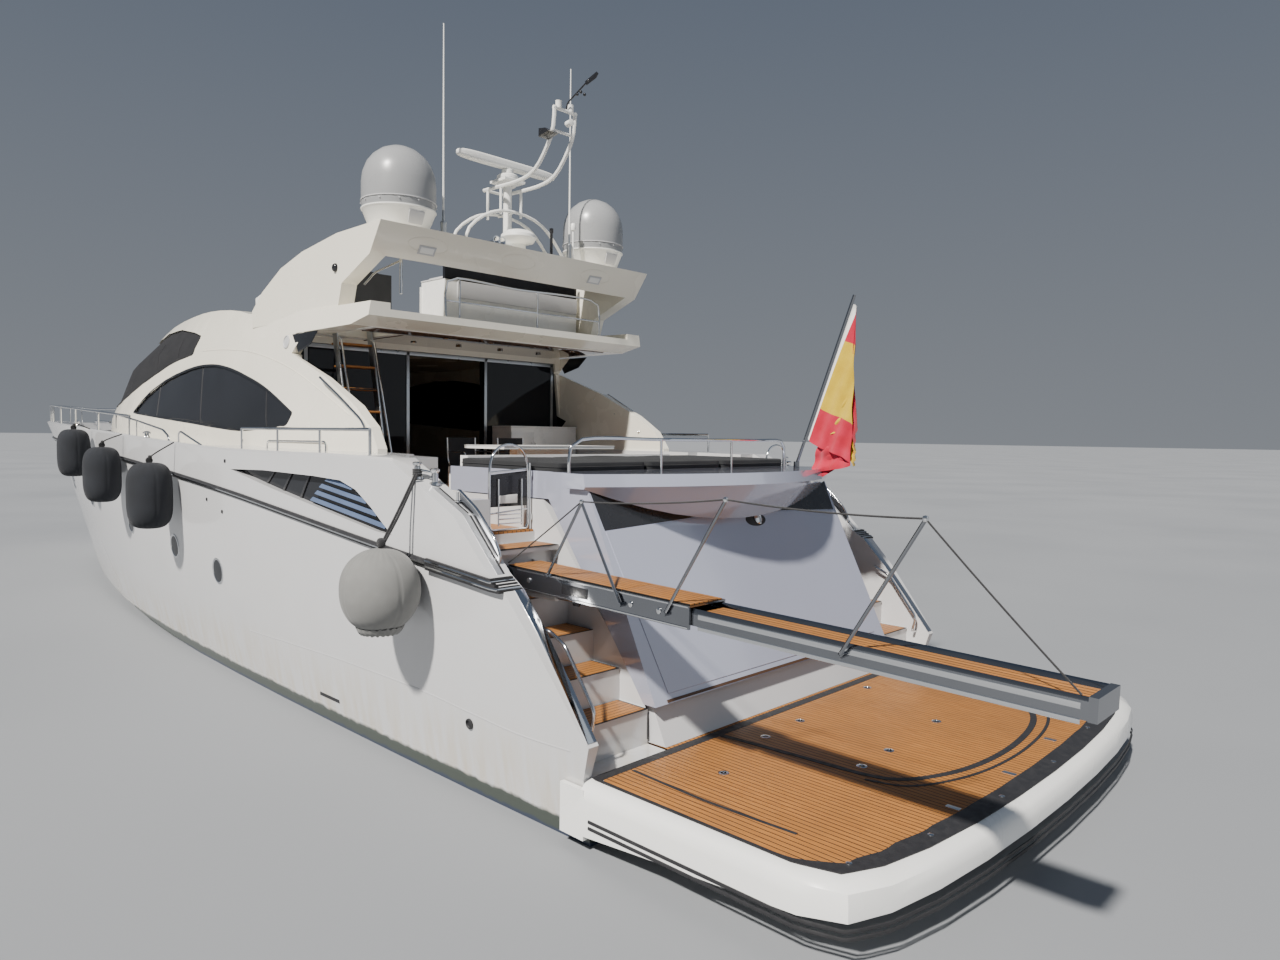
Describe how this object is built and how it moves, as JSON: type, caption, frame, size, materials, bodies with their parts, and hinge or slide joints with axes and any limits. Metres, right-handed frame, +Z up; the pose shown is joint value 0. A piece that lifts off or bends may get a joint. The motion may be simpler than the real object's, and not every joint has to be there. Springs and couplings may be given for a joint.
{
  "type": "flybridge motor yacht",
  "caption": "Flybridge motor yacht with radar arch, lifting garage door with sunpad, stern stairs, low teak bathing platform, telescopic gangway, propellers and rudders.",
  "frame": {"origin": "on the waterline, on the centreline, amidships", "axes": "+X to the bow, +Y to port, +Z up"},
  "size_m": [26.5893, 6.44, 9.346],
  "materials": {
    "gelcoat": "gloss",
    "cream": "gloss",
    "lavender": "gloss",
    "dark_glass": "gloss",
    "mesh_cover": "matte",
    "black_rubber": "satin",
    "stainless": "polished",
    "teak": "oiled",
    "white_plastic": "satin",
    "white_gloss": "gloss",
    "bronze": "satin",
    "grey_fabric": "matte",
    "flag_cloth": "matte"
  },
  "bodies": {
    "hull": {"hull": "gelcoat", "hull_stern": "gelcoat", "deckhouse": "cream", "flybridge": "cream", "radar_arch": "cream", "saloon_window_port": "dark_glass", "saloon_window_starboard": "dark_glass", "quarter_window_port": "dark_glass", "quarter_window_starboard": "dark_glass", "aft_bulkhead": "dark_glass", "wheelhouse_glass": "mesh_cover", "rub_rail_port": "black_rubber", "rub_rail_starboard": "black_rubber", "side_rail_port": "stainless", "side_rail_starboard": "stainless", "bow_rail": "stainless", "anchor": "stainless", "fly_rail": "stainless", "foredeck_pad": "grey_fabric", "saloon_sofa": "grey_fabric", "cockpit_chair_port": "grey_fabric", "cockpit_chair_starboard": "grey_fabric", "fly_seat": "grey_fabric", "fender_1": "grey_fabric", "fender_2": "grey_fabric", "fender_3": "grey_fabric", "cockpit_sole": "teak", "fly_ladder": "teak", "cockpit_cabinet": "white_gloss", "cockpit_table": "white_gloss", "cockpit_settee": "white_gloss", "fly_bar": "white_gloss", "fly_helm": "white_gloss", "mast": "white_plastic", "satellite_dome_port": "white_plastic", "satellite_dome_starboard": "white_plastic", "aerial_port": "white_plastic", "aerial_starboard": "white_plastic", "ball_fender": "white_plastic", "shaft_port": "bronze", "shaft_starboard": "bronze"},
    "garage_door": {"garage_door": "lavender", "sunpad": "grey_fabric", "sunpad_rail": "stainless", "ensign_staff": "stainless", "ensign": "flag_cloth"},
    "lift_arms": {"platform_arms": "stainless"},
    "platform": {"bathing_platform": "white_gloss"},
    "passerelle": {"passerelle": "stainless"},
    "passerelle_tip": {"passerelle_tip": "stainless"},
    "ram_barrel": {"ram_barrel": "white_plastic"},
    "ram_rod": {"ram_rod": "stainless"},
    "propeller_port": {"propeller_port": "bronze"},
    "propeller_starboard": {"propeller_starboard": "bronze"},
    "rudder_port": {"rudder_port": "bronze"},
    "rudder_starboard": {"rudder_starboard": "bronze"},
    "radar_scanner": {"radar_scanner": "white_plastic"},
    "saloon_door": {"saloon_door": "dark_glass"},
    "gate_port": {"gate_port": "stainless"},
    "gate_starboard": {"gate_starboard": "stainless"}
  },
  "joints": [
    {"name": "garage_door_lift", "type": "hinge", "parent": "hull", "child": "garage_door", "pos_m": [-7.4, 0, 2.72], "axis": [0, 1, 0], "range_deg": [0, 42]},
    {"name": "platform_lower", "type": "hinge", "parent": "hull", "child": "lift_arms", "pos_m": [-10.62, 0, -0.43], "axis": [0, -1, 0], "range_deg": [0, 29.4]},
    {"name": "platform_level", "type": "hinge", "parent": "lift_arms", "child": "platform", "pos_m": [-11.65, 0, -0.16], "axis": [0, -1, 0], "range_deg": [-29.5, 0.1]},
    {"name": "passerelle_luff", "type": "hinge", "parent": "hull", "child": "passerelle", "pos_m": [-9.18, 2.225, 1.826], "axis": [0, 1, 0], "range_deg": [-4, 22]},
    {"name": "passerelle_extend", "type": "slide", "parent": "passerelle", "child": "passerelle_tip", "axis": [-0.9997, 0, -0.0227], "range_m": [-1, 0]},
    {"name": "ram_barrel_pivot", "type": "hinge", "parent": "hull", "child": "ram_barrel", "pos_m": [-9.11, 2.225, 1.672], "axis": [0, 1, 0], "range_deg": [-3.6, 19.5]},
    {"name": "ram_rod_slide", "type": "slide", "parent": "ram_barrel", "child": "ram_rod", "axis": [-0.9997, 0, 0.024], "range_m": [-0.0099, 0.0543]},
    {"name": "propeller_port_spin", "type": "hinge", "parent": "hull", "child": "propeller_port", "pos_m": [-8.9978, 1.25, -1.0707], "axis": [0.9784, 0, 0.2066], "continuous": true},
    {"name": "propeller_starboard_spin", "type": "hinge", "parent": "hull", "child": "propeller_starboard", "pos_m": [-8.9978, -1.25, -1.0707], "axis": [0.9784, 0, 0.2066], "continuous": true},
    {"name": "rudder_port_turn", "type": "hinge", "parent": "hull", "child": "rudder_port", "pos_m": [-9.75, 1.25, -0.6], "axis": [0, 0, 1], "range_deg": [-35, 35]},
    {"name": "rudder_starboard_turn", "type": "hinge", "parent": "hull", "child": "rudder_starboard", "pos_m": [-9.75, -1.25, -0.6], "axis": [0, 0, 1], "range_deg": [-35, 35]},
    {"name": "radar_scanner_spin", "type": "hinge", "parent": "hull", "child": "radar_scanner", "pos_m": [-5.8, -0.1, 6.37], "axis": [0, 0, 1], "continuous": true},
    {"name": "saloon_door_slide", "type": "slide", "parent": "hull", "child": "saloon_door", "axis": [0, 1, 0], "range_m": [0, 1.25]},
    {"name": "gate_port_swing", "type": "hinge", "parent": "hull", "child": "gate_port", "pos_m": [-8.7, 1.822, 2.5], "axis": [0, 0, -1], "range_deg": [0, 88]},
    {"name": "gate_starboard_swing", "type": "hinge", "parent": "hull", "child": "gate_starboard", "pos_m": [-8.7, -1.822, 2.5], "axis": [0, 0, 1], "range_deg": [0, 88]}
  ],
  "couplings": [
    {"joint": "platform_level", "follows": "platform_lower", "ratio": -1},
    {"joint": "ram_barrel_pivot", "follows": "passerelle_luff", "ratio": 0.8805},
    {"joint": "ram_rod_slide", "follows": "passerelle_luff", "m_per_rad": 0.141},
    {"joint": "rudder_starboard_turn", "follows": "rudder_port_turn", "ratio": 1}
  ]
}
